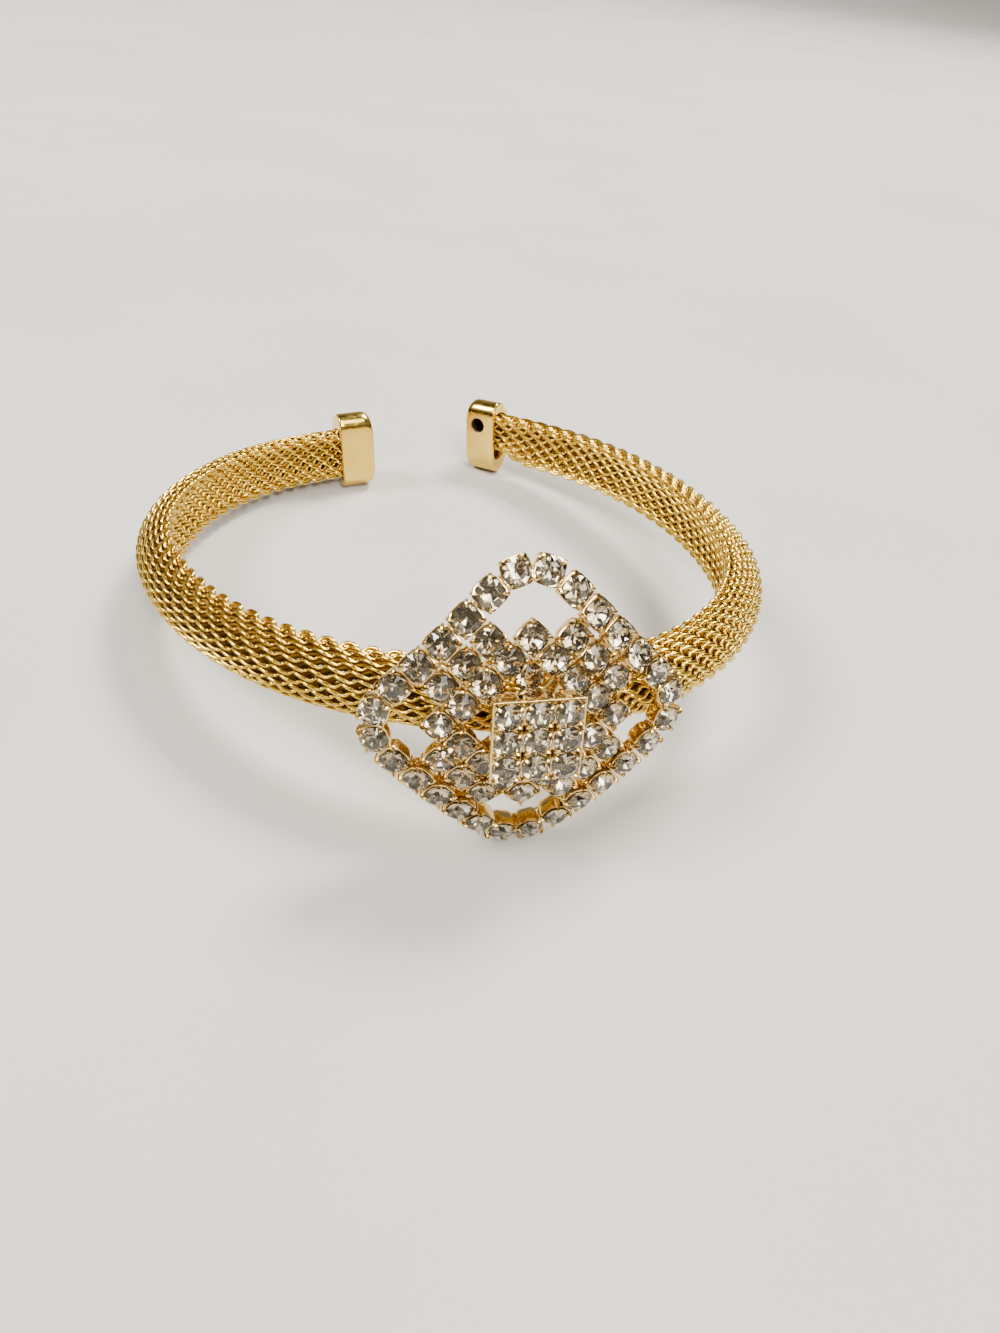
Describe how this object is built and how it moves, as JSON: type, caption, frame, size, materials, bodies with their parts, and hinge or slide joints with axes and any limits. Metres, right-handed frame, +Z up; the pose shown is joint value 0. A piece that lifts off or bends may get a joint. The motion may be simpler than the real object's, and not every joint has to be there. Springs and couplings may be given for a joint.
{
  "type": "mesh cuff bracelet",
  "caption": "Open knitted-mesh cuff bracelet with polished end caps and a pierced square rhinestone ornament carrying a raised stone block.",
  "frame": {"origin": "on the surface the bracelet rests on, under the middle of its length and width", "axes": "+X to the right of the ornament seen from the front, -Y where the ornament faces, +Z up"},
  "size_m": [0.0662, 0.0772, 0.0264],
  "materials": {
    "knitted_wire": "bright gold-tone wire",
    "polished_gold": "polished gold tone",
    "setting_gold": "polished pale gold tone",
    "cut_glass": "faceted clear glass, foiled behind"
  },
  "bodies": {
    "root": {"mesh_band": "knitted_wire", "cap_left": "polished_gold", "cap_right": "polished_gold", "ornament_setting": "setting_gold", "outer_ring_stones": "cut_glass", "side_row_stones": "cut_glass", "inner_ring_stones": "cut_glass", "crown_stones": "cut_glass"}
  },
  "joints": []
}
